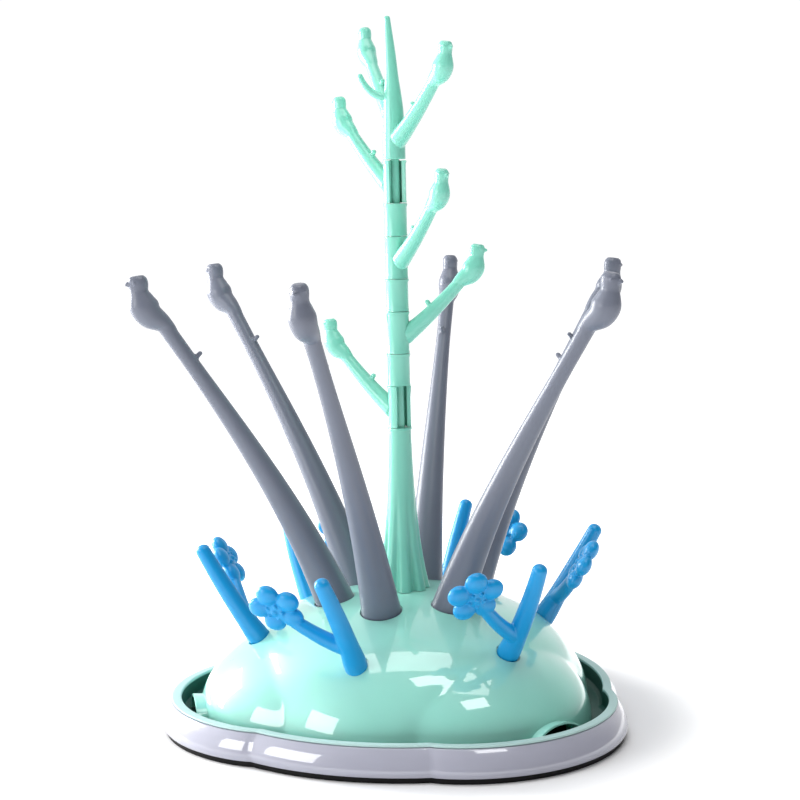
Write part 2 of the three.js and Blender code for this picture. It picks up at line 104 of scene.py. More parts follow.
TRUNK_BOTTOM = 73
TRUNK_RADIUS = 6.3
CLIP_BORE = 3.9 + GAP
CORE_RADIUS = 2.7  # of the necks, inside their clips
FLUTES = 8
FLUTE_DEPTH = 0.2  # as a share of the radius
TAPER_TOP = 166.6
CLIP_PITCH = 42
CLIP_HEIGHT = 24
CLIP_MOUTH = 96
MOUTH_TURN = -24  # of the clip's mouth, from straight opposite its branch
CLIP_AZIMUTHS = [257, 107, 52, 241]
NECKS = [TAPER_TOP + CLIP_PITCH * i for i in range(4)]
TRUNK_TOP = NECKS[-1] + CLIP_HEIGHT
SPIGOT_RADIUS = 2.5
SPIGOT_LENGTH = 11
TREE_TIP = 393.9
TOP_BRANCHES = [(57, 13), (218, 27)]  # azimuth, height above the foot of the tree top
SHOOT_AZIMUTH = 288

# ---- the studio's values: metres, degrees and watts ----
CAMERA_AZIMUTH = 18.17
CAMERA_DISTANCE = 0.9951
CAMERA_HEIGHT = 0.3068
CAMERA_HEADING = 18.15  # it looks straight away from this azimuth
CAMERA_PITCH = 7.14
CAMERA_ROLL = 1.2
CAMERA_LENS = 79.9
AIM = (0, 0, 0.12)  # where the lights point
FLOOR_REACH = 6  # from its middle to its sides
GLOW_RADII = (0.138, 0.21)  # between these the floor starts to glow
FLOOR_GLOW = 0.6
ROOM_DARK = 0.13
ROOM_BRIGHT = 1.04
ROOM_BRIGHT_AZIMUTH = CAMERA_AZIMUTH + 216
ROOM_FADE = (-0.55, 0.6)  # cosines of the angle from the bright side, dark end first
LIGHTS = [  # name, azimuth from the camera's, distance, height, width and height, power
    ("side_left", -116, 1.0, 0.36, (0.4, 0.5), 15),
    ("key_left", -58, 1.1, 0.4, (0.52, 0.42), 4.2),
    ("window_right", 25, 0.7, 1.25, (0.42, 0.3), 2.6),
    ("overhead", 0, 0.1, 1.25, (0.9, 0.5), 4.6),
]


# ---- numbers ----
def radians(angle):
    return angle * math.pi / 180


def direction(azimuth):
    return np.array([math.sin(radians(azimuth)), -math.cos(radians(azimuth)), 0.0])


def even(path, count):
    """The path resampled at equal steps along its length."""
    steps = np.linalg.norm(np.diff(path, axis=0), axis=1)
    along = np.concatenate([[0], np.cumsum(steps)])
    wanted = np.linspace(0, along[-1], count)
    return np.stack([np.interp(wanted, along, path[:, k]) for k in range(3)], 1)


def profile(count, *stops):
    """Radii at equal steps along a stem, smoothly through (part, radius) stops."""
    curve = through(stops, 20 * len(stops))
    return np.interp(np.linspace(0, 1, count), curve[:, 0], curve[:, 1])


def smoothstep(value, low, high):
    part = np.clip((value - low) / (high - low), 0, 1)
    return part * part * (3 - 2 * part)


def turned(points, angle, axis=(0, 0, 1), centre=(0, 0, 0)):
    matrix = np.array(Matrix.Rotation(radians(angle), 3, Vector(axis)))
    return (np.asarray(points) - centre) @ matrix.T + centre


def leaning(angle):
    """The upward axis, leaned towards +X."""
    return turned([0, 0, 1], angle, (0, 1, 0))


def through(points, count):
    """A smooth curve through rows of numbers, at evenly spread parameters."""
    points = np.asarray(points, float)
    padded = np.vstack([2 * points[0] - points[1], points, 2 * points[-1] - points[-2]])
    rows = []
    for t in np.linspace(0, len(points) - 1, count):
        i = min(int(t), len(points) - 2)
        f = t - i
        a, b, c, d = padded[i:i + 4]
        rows.append(0.5 * (2 * b + (c - a) * f + (2 * a - 5 * b + 4 * c - d) * f ** 2
                           + (3 * b - a - 3 * c + d) * f ** 3))
    return np.array(rows)


def bezier(points, count):
    """Points along a Bezier curve of any degree."""
    t = np.linspace(0, 1, count)[:, None]
    level = [np.broadcast_to(np.asarray(p, float), (count, 3)) for p in points]
    while len(level) > 1:
        level = [a * (1 - t) + b * t for a, b in zip(level, level[1:])]
    return level[0]


# ---- solids: pairs of (points, faces) ----
def skin(rings, loop=False):
    """A surface over equal rings of points. Its ends are closed with fans, or joined to each other."""
    rings = np.asarray(rings)
    count, sides = rings.shape[:2]
    points = rings.reshape(-1, 3)
    faces = []
    for i in range(count if loop else count - 1):
        a, b = i * sides, (i + 1) % count * sides
        for j in range(sides):
            k = (j + 1) % sides
            faces.append((a + j, a + k, b + k, b + j))
    if not loop:
        for start, flip in ((0, True), ((count - 1) * sides, False)):
            centre = len(points)
            points = np.vstack([points, points[start:start + sides].mean(0)])
            for j in range(sides):
                edge = (start + j, start + (j + 1) % sides)
                faces.append((*(edge[::-1] if flip else edge), centre))
    return points, faces


def tube(path, radii, sides=32, sideways=(0, 1, 0)):
    """A tube of changing radius along a path that nowhere runs along sideways."""
    path, sideways = np.asarray(path, float), np.asarray(sideways, float)
    tangents = np.gradient(path, axis=0)
    tangents /= np.linalg.norm(tangents, axis=1)[:, None]
    side = sideways - tangents * (tangents @ sideways)[:, None]
    side /= np.linalg.norm(side, axis=1)[:, None]
    up = np.cross(tangents, side)
    angles = np.linspace(0, 2 * math.pi, sides, endpoint=False)
    radii = np.asarray(radii, float)[:, None, None]
    ring = side[:, None] * np.cos(angles)[None, :, None] + up[:, None] * np.sin(angles)[None, :, None]
    return skin(path[:, None] + ring * radii)


def rounded(path, radii, cap):
    """The path and radii of a tube whose far end is rounded over a cap's length."""
    path, radii = np.asarray(path, float), np.asarray(radii, float)
    along = path[-1] - path[-2]
    along /= np.linalg.norm(along)
    angles = np.linspace(0, math.pi / 2, 9)[1:]
    ends = path[-1] + along * (cap * np.sin(angles))[:, None]
    return np.vstack([path, ends]), np.concatenate([radii, radii[-1] * np.cos(angles) + 0.02])


def ball(centre, sizes, tilt=0, segments=28, rows=18):
    """An ellipsoid; tilt turns it about Y."""
    levels = np.linspace(-math.pi / 2, math.pi / 2, rows + 2)[1:-1]
    angles = np.linspace(0, 2 * math.pi, segments, endpoint=False)
    rings = [[(math.cos(v) * math.cos(u), math.cos(v) * math.sin(u), math.sin(v)) for u in angles]
             for v in levels]
    points, faces = skin(np.array(rings) * sizes)
    return turned(points, tilt, (0, 1, 0)) + centre, faces


def lathe(section, segments=360, outline=None):
    """A closed [radius, height] loop turned about Z; outline scales the radius at each azimuth."""
    rings = []
    for azimuth in np.linspace(0, 360, segments, endpoint=False):
        scale = outline(azimuth) if outline else 1
        out = direction(azimuth)
        rings.append([out * radius * scale + (0, 0, height) for radius, height in section])
    return skin(rings, loop=True)


def together(*solids):
    """Several solids in one list of points and faces."""
    points, faces, count = [], [], 0
    for some_points, some_faces in solids:
        points.append(some_points)
        faces += [tuple(index + count for index in face) for face in some_faces]
        count += len(some_points)
    return np.vstack(points), faces


def swung(solid, angle):
    """A solid turned about Z."""
    return turned(solid[0], angle), solid[1]


def shifted(solids, offset):
    return [(points + offset, faces) for points, faces in solids]


# ---- objects ----
def thing(name, solid, material=None, sharp=35):
    """A solid in millimetres as a Blender object; edges steeper than sharp degrees stay sharp."""
    mesh = bpy.data.meshes.new(name)
    mesh.from_pydata((np.asarray(solid[0]) * MM).tolist(), [], solid[1])
    mesh.update()
    mesh.validate()
    obj = bpy.data.objects.new(name, mesh)
    bpy.context.scene.collection.objects.link(obj)
    finish_mesh(obj, material, sharp)
    return obj


def finish_mesh(obj, material, sharp=35):
    mesh = obj.data
    mesh.shade_smooth()
    mesh.set_sharp_from_angle(angle=radians(sharp))
    if material:
        mesh.materials.clear()
        mesh.materials.append(material)


def apply_modifiers(obj):
    shown = obj.evaluated_get(bpy.context.evaluated_depsgraph_get())
    mesh = bpy.data.meshes.new_from_object(shown)
    obj.modifiers.clear()
    obj.data = mesh


def fused(name, solids, voxel, smoothing, keep):
    """Solids that overlap, melted into one skin with soft inner corners, as (points, faces).

    keep is the part of the faces that is left after thinning.
    """
    obj = thing(name + "_rough", together(*solids))
    remesh = obj.modifiers.new("fuse", "REMESH")
    remesh.mode = "VOXEL"
    remesh.voxel_size = voxel * MM
    smooth = obj.modifiers.new("soften", "SMOOTH")
    smooth.factor = 0.5
    smooth.iterations = smoothing
    fewer = obj.modifiers.new("fewer", "DECIMATE")
    fewer.ratio = keep
    apply_modifiers(obj)
    mesh = obj.data
    points = np.empty(len(mesh.vertices) * 3)
    mesh.vertices.foreach_get("co", points)
    faces = [tuple(polygon.vertices) for polygon in mesh.polygons]
    bpy.data.objects.remove(obj)
    return points.reshape(-1, 3) / MM, faces


def carve(obj, cutter, operation="DIFFERENCE"):
    """Cuts a solid out of an object, or joins it on. The solid must not cross itself."""
    tool = thing(obj.name + "_tool", cutter)
    boolean = obj.modifiers.new("carve", "BOOLEAN")
    boolean.operation = operation
    boolean.solver = "EXACT"
    boolean.use_self = False
    boolean.object = tool
    apply_modifiers(obj)
    bpy.data.objects.remove(tool)


def stand_in(obj, node, body):
    """Puts an object in the place of a node of the frame, on its body."""
    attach(obj, body)
    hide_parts(node)


# ---- materials ----
def noise(nodes, links, place, scale, detail):
    texture = nodes.new("ShaderNodeTexNoise")
    texture.inputs["Scale"].default_value = scale
    texture.inputs["Detail"].default_value = detail
    links.new(place, texture.inputs["Vector"])
    return texture.outputs["Fac"]


def map_range(nodes, links, value, source=(0, 1), target=(0, 1), interpolation="LINEAR"):
    fit = nodes.new("ShaderNodeMapRange")
    fit.interpolation_type = interpolation
    for name, number in zip(("From Min", "From Max", "To Min", "To Max"), (*source, *target)):
        fit.inputs[name].default_value = number
    links.new(value, fit.inputs["Value"])
    return fit.outputs["Result"]


def clouded(nodes, links, place, colour, speckle):
    """A colour with faint clouds of lighter and darker."""
    clouds = nodes.new("ShaderNodeValToRGB")
    deep, light = clouds.color_ramp.elements
    deep.position, light.position = 0.3, 0.7
    deep.color = (*[c * (1 - speckle) for c in colour], 1)
    light.color = (*[min(1, c * (1 + speckle)) for c in colour], 1)
    links.new(noise(nodes, links, place, 22, 3), clouds.inputs["Fac"])
    return clouds.outputs["Color"]


def shaded(nodes, links, place, tint, shade):
    """Painted shade: a deeper colour below, which gives way to the tint between two heights."""
    deep, low, high = shade
    split = nodes.new("ShaderNodeSeparateXYZ")
    links.new(place, split.inputs["Vector"])
    rise = map_range(nodes, links, split.outputs["Z"], (low * MM, high * MM), interpolation="SMOOTHSTEP")
    mix = nodes.new("ShaderNodeMix")
    mix.data_type = "RGBA"
    links.new(rise, mix.inputs["Factor"])
    mix.inputs[6].default_value = (*deep, 1)  # the colour socket A, and 7 is B
    links.new(tint, mix.inputs[7])
    return mix.outputs[2]


def plastic(name, colour, roughness=0.3, scatter=0.0, speckle=0.03, coat=1.0, polish=0.03, shade=None):
    """Moulded plastic: faint clouds in the colour, uneven gloss and a fine moulding texture.

    shade is painted shade: a colour and two heights, between which it gives way to the plain one.
    """
    material = bpy.data.materials.new(name)
    material.use_nodes = True
    nodes, links = material.node_tree.nodes, material.node_tree.links
    shader = nodes["Principled BSDF"]
    place = nodes.new("ShaderNodeTexCoord").outputs["Object"]

    tint = clouded(nodes, links, place, colour, speckle)
    if shade:
        tint = shaded(nodes, links, place, tint, shade)
    links.new(tint, shader.inputs["Base Color"])
    wear = noise(nodes, links, place, 60, 4)
    gloss = map_range(nodes, links, wear, target=(roughness * 0.8, roughness * 1.25))
    links.new(gloss, shader.inputs["Roughness"])

    relief = nodes.new("ShaderNodeBump")
    relief.inputs["Strength"].default_value = 0.03
    relief.inputs["Distance"].default_value = 0.3 * MM
    links.new(noise(nodes, links, place, 900, 2), relief.inputs["Height"])
    links.new(relief.outputs["Normal"], shader.inputs["Normal"])

    shader.inputs["IOR"].default_value = 1.48
    shader.inputs["Specular IOR Level"].default_value = 0.25
    shader.inputs["Coat Weight"].default_value = coat
    shader.inputs["Coat Roughness"].default_value = polish
    shader.inputs["Coat IOR"].default_value = 1.7
    if scatter:
        shader.inputs["Subsurface Weight"].default_value = scatter
        shader.inputs["Subsurface Scale"].default_value = 4 * MM
        shader.inputs["Subsurface Radius"].default_value = (0.6, 1.0, 0.8)
    return material


def from_srgb(*levels):
    return [((c / 255 + 0.055) / 1.055) ** 2.4 for c in levels]


# The dome and the tree are one mint plastic. The dome's lighter copy and the tree's darker copy are painted
# light and painted shade, for the dome facing up into the light.
DOME_MINT_PAINTED_LIT = plastic("dome_mint_painted_lit", from_srgb(154, 224, 209), scatter=0.1)
TREE_MINT_PAINTED_SHADE = plastic("tree_mint_painted_shade", from_srgb(126, 206, 186), scatter=0.08, coat=0.4, polish=0.2)
# The basin's mint with painted shade: deep teal low in its hollow, which gives way to a pale grey-mint at its
# rim.
BASIN_MINT_PAINTED_SHADE = plastic("basin_mint_painted_shade", from_srgb(176, 206, 203), roughness=0.6, coat=0.1, polish=0.3,
                     shade=(from_srgb(14, 72, 62), 17.0, 18.3))
PALE_GREY = plastic("pale_grey_gloss", from_srgb(172, 173, 188), roughness=0.22)
GREY = plastic("grey_gloss", from_srgb(108, 113, 127), roughness=0.42, coat=0.25, polish=0.3)
BLUE = plastic("blue_gloss", from_srgb(4, 146, 208), roughness=0.42, scatter=0.04, coat=0.3, polish=0.25)
# Plain black for the foot band under the tray's wall.
FOOT_BAND_BLACK = plastic("foot_band_black", from_srgb(10, 10, 12), roughness=0.6, coat=0.0)


# ---- tray ----
def tray_outline(azimuth):
    """The tray's radius at an azimuth, as a share of its radius between two lobes."""
    big, small = TRAY_LOBES
    turn = azimuth % 120
    from_small = min(turn, 120 - turn)
    if from_small <= SMALL_LOBE_HALF:
        return 1 + small * math.cos(radians(90 * from_small / SMALL_LOBE_HALF))
    part = max(0, math.cos(radians(90 * (60 - from_small) / BIG_LOBE_HALF)))
    return 1 + big * part ** 0.8


def soft_loop(points, corner=0.8, steps=4):
    """A closed [radius, height] loop with its corners rounded off."""
    points = np.asarray(points, float)
    result = []
    for before, here, after in zip(np.roll(points, 1, 0), points, np.roll(points, -1, 0)):
        into, out = before - here, after - here
        reach = min(corner, np.linalg.norm(into) / 2.2, np.linalg.norm(out) / 2.2)
        start = here + into / np.linalg.norm(into) * reach
        end = here + out / np.linalg.norm(out) * reach
        for t in np.linspace(0, 1, steps + 1):
            result.append(start * (1 - t) ** 2 + 2 * here * t * (1 - t) + end * t ** 2)
    return result


def make_foot_band():
    loop = soft_loop([
        [FOOT_INNER, 0], [FOOT_OUTER, 0], [FOOT_OUTER + 0.5, FOOT_TOP], [FOOT_INNER, FOOT_TOP],
    ], 0.5)
    band = thing("foot_band", lathe(loop, outline=tray_outline), FOOT_BAND_BLACK)
    stand_in(band, "foot_ring", "tray")


def make_tray():
    """The outer tray: a bulging wall with a flat rim, a floor, and a skirt over the foot band."""
    wall = through([
        [TRAY_RADIUS - 0.8, TRAY_BOTTOM - SKIRT], [TRAY_RADIUS - 0.1, TRAY_BOTTOM + 0.7],
        [TRAY_RADIUS, TRAY_BOTTOM + 2.4], [TRAY_RADIUS - 0.7, 9.6], [TRAY_RADIUS - 2.4, 13.6],
        [TRAY_RIM + 0.9, 16.9], [TRAY_RIM, TRAY_TOP],
    ], 24)
    inside = [[TRAY_RIM - TRAY_RIM_WIDTH, TRAY_TOP], [118, 11], [118.6, TRAY_FLOOR]]
    floor = [[MIDWAY, TRAY_FLOOR], [AXIS, TRAY_FLOOR], [AXIS, TRAY_BOTTOM], [MIDWAY, TRAY_BOTTOM]]
    skirt = [[122.4, TRAY_BOTTOM], [122.4, TRAY_BOTTOM - SKIRT + 0.2]]
    shell = lathe([*wall, *inside, *floor, *skirt], outline=tray_outline)
    stand_in(thing("outer_tray", shell, PALE_GREY), "tray_shell", "tray")


def make_basin():
    """The basin that lines the tray, with a lip over the tray's rim."""
    wall = TRAY_RIM - TRAY_RIM_WIDTH - GAP
    lip = TRAY_TOP + GAP
    sheet = BASIN_FLOOR + BASIN_SHEET
    loop = soft_loop([
        [wall - 0.6, BASIN_FLOOR], [wall, BASIN_FLOOR + 2], [wall, lip], [TRAY_RIM + 0.4, lip],
        [TRAY_RIM + 0.2, BASIN_TOP], [BASIN_WALL_INNER, BASIN_TOP], [BASIN_WALL_INNER - 0.3, BASIN_FLOOR + 3.4],
        [BASIN_WALL_INNER - 2.4, sheet], [MIDWAY, sheet], [AXIS, sheet], [AXIS, BASIN_FLOOR],
        [MIDWAY, BASIN_FLOOR],
    ], 0.6)
    basin = lathe(loop, outline=tray_outline)
    stand_in(thing("mint_basin", basin, BASIN_MINT_PAINTED_SHADE), "drip_basin", "basin")


# ---- dome ----
def dome_radius(azimuth, height):
    """The dome's radius: a round crown with bulges that swell out of it, one for each lobe."""
    part = np.clip((height - DOME_BOTTOM) / DOME_RISE, 0, 1)
    radius = CROWN_RADIUS * np.sqrt(np.maximum(1 - part ** CROWN_POWER, 0))
    for first, centre, size, rise in BULGES:
        level = size * np.sqrt(np.maximum(1 - ((height - DOME_BOTTOM) / rise) ** 2, 0))
        for middle in (first, first + 120, first + 240):
            away = np.radians((azimuth - middle + 180) % 360 - 180)
            reach = level ** 2 - (centre * np.sin(away)) ** 2
            bulge = centre * np.cos(away) + np.sqrt(np.maximum(reach, 0))
            bulge = np.where((reach > 0) & (np.cos(away) > 0.3), bulge, 0)
            radius = 0.5 * (radius + bulge + np.hypot(radius - bulge, BULGE_BLEND))
    return radius


def dome_height(x, y):
    """The height of the dome's surface above points of the floor."""
    azimuth = np.degrees(np.arctan2(x, -y))
    distance = np.hypot(x, y)
    low, high = np.full(np.shape(x), DOME_BOTTOM), np.full(np.shape(x), DOME_HEIGHT)
    for _ in range(30):
        middle = (low + high) / 2
        outside = dome_radius(azimuth, middle) > distance
        low, high = np.where(outside, middle, low), np.where(outside, high, middle)
    return (low + high) / 2


def dome_rings(segments, rows):
    """Rings round the dome's surface, from its lower edge to just short of the middle of the crown."""
    azimuths = np.linspace(0, 360, segments, endpoint=False)
    stop = 0.985  # of the way to the middle of the crown
    climb = np.sin(np.linspace(0, math.pi / 2 * stop, rows))
    rings = []
    for height in DOME_BOTTOM + DOME_RISE * climb:
        radius = dome_radius(azimuths, height)
        rings.append(np.stack([np.sin(np.radians(azimuths)) * radius,
                               -np.cos(np.radians(azimuths)) * radius,
                               np.full(segments, height)], 1))
    return np.array(rings)


def dome_shell():
    outer = dome_rings(360, 90)
    inner = dome_rings(360, 40)[::-1].copy()
    inner[..., :2] *= (CROWN_RADIUS - DOME_WALL) / CROWN_RADIUS
    inner[..., 2] = DOME_BOTTOM + (inner[..., 2] - DOME_BOTTOM) * (DOME_RISE - DOME_WALL) / DOME_RISE
    return skin(np.concatenate([outer, inner]), loop=True)


def notch_bar(azimuth):
    """The bar that cuts a notch, arched, from inside the dome's wall to outside the hood."""
    sill = DOME_BOTTOM - 3
    angles = np.linspace(0, math.pi, 25)
    outline = [(NOTCH_HALF_WIDTH * math.cos(a), sill + (NOTCH_TOP - sill) * math.sin(a) ** ARCH_POWER)
               for a in angles]
    return swung(skin([[(x, -radius, z) for x, z in outline] for radius in (95, 135)]), azimuth)


def hood(azimuth):
    """The raised lip round a notch: an arched band that flares out of the dome."""
    section = [  # radius, growth over the notch
        (111, -0.2), (121.2, 0.5), (121.8, 1.1), (121.4, 1.9), (120.2, 1.8), (113, 1.4), (110, 1.4),
    ]
    rings = []
    for a in np.linspace(-0.02, math.pi + 0.02, 41):
        across, up = math.cos(a), math.sin(a) ** ARCH_POWER if 0 < a < math.pi else 0
        rings.append([((NOTCH_HALF_WIDTH + grow) * across, -radius,
                       DOME_BOTTOM + (NOTCH_TOP - DOME_BOTTOM + grow) * up) for radius, grow in section])
    return swung(skin(rings), azimuth)


def socket(azimuth, foot, lean, plug):
    """The sleeve and the hole under a foot, for a plug that leans towards the azimuth."""
    radius, length = plug
    axis = leaning(lean)
    end = foot - axis * (length + 1)
    sleeve = tube([end, foot - axis * 2.4], [radius + SOCKET_WALL] * 2, sides=40)
    hole = tube([end - axis * 2, foot + axis * 12], [radius + GAP] * 2, sides=40)
    return swung(sleeve, azimuth - 90), swung(hole, azimuth - 90)


def recess(azimuth, foot, lean, radius):
    """The bar that cuts the shallow recess round a foot."""
    axis = leaning(lean)
    bar = tube([foot - axis * RECESS_DEPTH, foot + axis * 14], [radius] * 2, sides=48)
    return swung(bar, azimuth - 90)


def make_dome():
    dome = thing("mint_dome", dome_shell(), DOME_MINT_PAINTED_LIT)
    sockets = [socket(0, np.array([0, 0, DOME_HEIGHT]), 0, TRUNK_PLUG)]
    sockets += [socket(azimuth, POLE_FOOT, 0, POLE_PLUG) for azimuth in STATIONS]
    sockets += [socket(azimuth, TWIG_FOOT, TWIG_LEAN, TWIG_PLUG) for azimuth in STATIONS]
    sleeves, holes = zip(*sockets)
    recesses = [recess(azimuth, POLE_FOOT, POLE_LEAN - 2, POLE_RECESS) for azimuth in STATIONS]
    recesses += [recess(azimuth, TWIG_FOOT, TWIG_LEAN, TWIG_RECESS) for azimuth in STATIONS]
    carve(dome, together(*sleeves), "UNION")
    carve(dome, together(*[hood(azimuth) for azimuth in BIG_LOBES]), "UNION")
    carve(dome, together(*recesses))
    carve(dome, together(*holes, *[notch_bar(azimuth) for azimuth in BIG_LOBES]))
    finish_mesh(dome, DOME_MINT_PAINTED_LIT, sharp=40)
    stand_in(dome, "drainer_dome", "dome")


def sit_on_dome(points, axis, gap=GAP):
    """Slides every point that is under the dome's surface up along an axis until it rests on it."""
    slope = 0.6  # about how steep the dome is, which sets the size of a step
    points = points.copy()
    low = points[:, 2] < DOME_HEIGHT + 2
    chosen = points[low]
    travel = np.zeros(len(chosen))
    for _ in range(12):
        here = chosen + axis * travel[:, None]
        lack = dome_height(here[:, 0], here[:, 1]) + gap - here[:, 2]
        travel = np.maximum(travel + lack / (axis[2] + slope * np.hypot(axis[0], axis[1])), 0)
    points[low] = chosen + axis * travel[:, None]
    return points


# ---- birds ----
def bird(scale=1.0):
    """A plump perching songbird facing +X, standing on the origin."""
    spine = through([  # x, z of the middle, half depth across the back, half width
        [-4.0, -5.0, 0.8, 1.0], [-2.6, -1.8, 2.3, 2.5], [1.8, 2.3, 4.1, 4.0], [6.6, 5.6, 5.7, 5.0],
        [9.0, 9.4, 6.2, 5.3], [10.2, 13.0, 5.0, 4.3], [10.8, 15.6, 3.9, 3.5], [11.0, 18.4, 4.2, 3.6],
        [11.3, 20.8, 3.9, 3.4], [11.5, 22.3, 2.6, 2.3],
    ], 44)
    tangents = np.gradient(spine[:, :2], axis=0)
    tangents /= np.linalg.norm(tangents, axis=1)[:, None]
    angles = np.linspace(0, 2 * math.pi, 32, endpoint=False)
    rings = []
    for (x, z, depth, width), (along_x, along_z) in zip(spine, tangents):
        back, side = depth * np.cos(angles), width * np.sin(angles)
        rings.append(np.stack([x + along_z * back, side, z - along_x * back], 1))
    body = skin(rings)
    bill = through([[13.5, 0, 18.6], [15.5, 0, 18.8], [16.7, 0, 18.5]], 9)
    beak = tube(bill, np.linspace(1.8, 0.45, 9), sides=16)
    brow = ball([13.6, 0, 20.9], [1.5, 2.3, 1.0], tilt=12, segments=16, rows=10)
    eyes = [ball([13.0, side * 3.1, 19.5], [0.75, 0.5, 0.75], segments=14, rows=8) for side in (-1, 1)]
    return [(points * scale, faces) for points, faces in (body, beak, brow, *eyes)]


def bud(path, part, reach):
    """A small round bud on the upper side of a stem."""
    i = int(part * (len(path) - 1))
    along = path[i + 1] - path[i]
    along /= np.linalg.norm(along)
    upper = np.array([-along[2], 0, along[0]])
    tip = path[i] + upper * reach + along * 1.5
    shaft = np.linspace(path[i], tip, 8)
    knob = ball(tip, [1.5, 1.5, 1.3], segments=16, rows=10)
    return [tube(shaft, np.linspace(2.0, 1.2, 8), sides=16), knob]


# ---- poles ----
POLE_BEND = (94, 0, 174)
POLE_TIP = (131, 0, 230)
POLE_PERCH = (129.5, 0, 228)
POLE_BIRD_SCALE = 1.3


def pole_solid(axis):
    start = POLE_FOOT - axis * 8
    path = even(bezier([start, start + axis * 65, POLE_BEND, POLE_TIP], 200), 90)
    radii = profile(90, (0, 11.5), (0.05, 10.9), (0.18, 9.4), (0.35, 7.75), (0.6, 5.75), (0.82, 4.5), (1, 4.4))
    stem = tube(*rounded(path, radii, cap=3.2), sides=48)
    solids = [stem, *shifted(bird(POLE_BIRD_SCALE), POLE_PERCH), *bud(path, part=0.87, reach=7)]
    return fused("pole", solids, voxel=0.5, smoothing=5, keep=0.45)


def make_poles():
    axis = leaning(POLE_LEAN)
    points, faces = pole_solid(axis)
    radius, length = POLE_PLUG
    core = [POLE_FOOT + (0, 0, 1), POLE_FOOT - (0, 0, length - 1.2)]
    plug = tube(*rounded(core, [radius, radius], cap=1.2), sides=40)
    for i, (azimuth, turn) in enumerate(zip(STATIONS, POLE_TURNS), 1):
        stem, peg = (turned(turned(some, turn, centre=POLE_FOOT), azimuth - 90) for some in (points, plug[0]))
        lean = turned(turned([axis], turn), azimuth - 90)[0]
        whole = together((sit_on_dome(stem, lean, -SINK), faces), (peg, plug[1]))
        name = f"bird_pole_{i}"
        stand_in(thing(f"pole_with_bird_{i}", whole, GREY, sharp=60), name, name)


# ---- flower twigs ----
STICK_TIP = np.array([114.5, -5.5, 104])
STALK_BEND = (92, -15, 68)
FLOWER = np.array([96.0, -35, 88.5])
PETALS = 5


def flower():
    """Five round petals about a dotted middle, alike on both faces, one petal towards +X."""
    solids = [ball([0, 0, 0], [7.4, 7.4, 3.3])]
    for i in range(PETALS):
        angle = 2 * math.pi * i / PETALS
        out = np.array([math.cos(angle), math.sin(angle), 0])
        solids.append(ball(out * 9.6, [6.2, 6.2, 4.1]))
    for face in (-1, 1):
        solids.append(ball([0, 0, face * 3.0], [1.9, 1.9, 1.6], segments=16, rows=10))
        for i in range(PETALS):
            angle = 2 * math.pi * (i + 0.5) / PETALS
            dot = [4.3 * math.cos(angle), 4.3 * math.sin(angle), face * 3.0]
            solids.append(ball(dot, [1.1, 1.1, 1.1], segments=12, rows=8))
    return solids


def flower_basis(fork):
    """The flower's own X, Y and Z: its face towards the stick's side, a petal in line with the stalk."""
    to_fork = fork - FLOWER
    facing = np.cross(STICK_TIP - FLOWER, to_fork)
    facing /= np.linalg.norm(facing)
    across = np.cross(facing, to_fork)
    across /= np.linalg.norm(across)
    return np.stack([np.cross(across, facing), across, facing])


def twig_solid(axis):
    start = TWIG_FOOT - axis * 6
    stick = even(bezier([start, TWIG_FOOT + axis * 22, STICK_TIP - (1.5, 0, 2.5)], 200), 60)
    radii = profile(60, (0, 6.2), (0.14, 6.2), (0.32, 5.4), (0.65, 4.8), (1, 4.1))
    fork = stick[17]  # the flower's stalk leaves here, a little over a quarter of the way up
    stalk = bezier([fork, STALK_BEND, FLOWER], 40)
    solids = [tube(*rounded(stick, radii, cap=3.6), sides=36)]
    solids.append(tube(stalk, np.linspace(4.7, 3.3, 40), sides=28, sideways=(1, 0, 0)))
    basis = flower_basis(fork)
    solids += [(points @ basis + FLOWER, faces) for points, faces in flower()]
    return fused("twig", solids, voxel=0.4, smoothing=4, keep=0.5)


def make_twigs():
    axis = leaning(TWIG_LEAN)
    points, faces = twig_solid(axis)
    radius, length = TWIG_PLUG
    core = [TWIG_FOOT + axis, TWIG_FOOT - axis * (length - 1)]
    plug = tube(*rounded(core, [radius, radius], cap=1), sides=36)
    for i, (azimuth, turn) in enumerate(zip(STATIONS, TWIG_TURNS), 1):
        twig, peg = (turned(turned(some, turn, axis, TWIG_FOOT), azimuth - 90) for some in (points, plug[0]))
        lean = turned([axis], azimuth - 90)[0]
        whole = together((sit_on_dome(twig, lean, -SINK), faces), (peg, plug[1]))
        name = f"flower_twig_{i}"
        stand_in(thing(f"twig_with_flower_{i}", whole, BLUE, sharp=60), name, name)


# ---- trunk ----
def scaled_across(points, scale):
    """Points moved away from or towards the Z axis."""
    return points * np.stack([scale, scale, np.ones(len(points))], 1)


def flutes(points):
    """Narrow grooves that run up the trunk's foot between rounded ribs."""
    azimuth = np.arctan2(points[:, 0], -points[:, 1])
    depth = FLUTE_DEPTH * (1 - smoothstep(points[:, 2], 74, 140))
    groove = np.abs(np.cos(FLUTES / 2 * azimuth)) ** 5
    return scaled_across(points, 1 - depth * groove)


def lipped(bottom, top, radius, lip=0.45):
    """The [radius, height] side of a collar whose ends flare into thin lips."""
    return [
        [radius + lip * 0.5, bottom], [radius + lip * 0.4, bottom + 0.5], [radius, bottom + 1.6],
        [radius, top - 2.2], [radius + lip, top - 0.9], [radius + lip, top - 0.3], [radius + lip * 0.4, top],
    ]


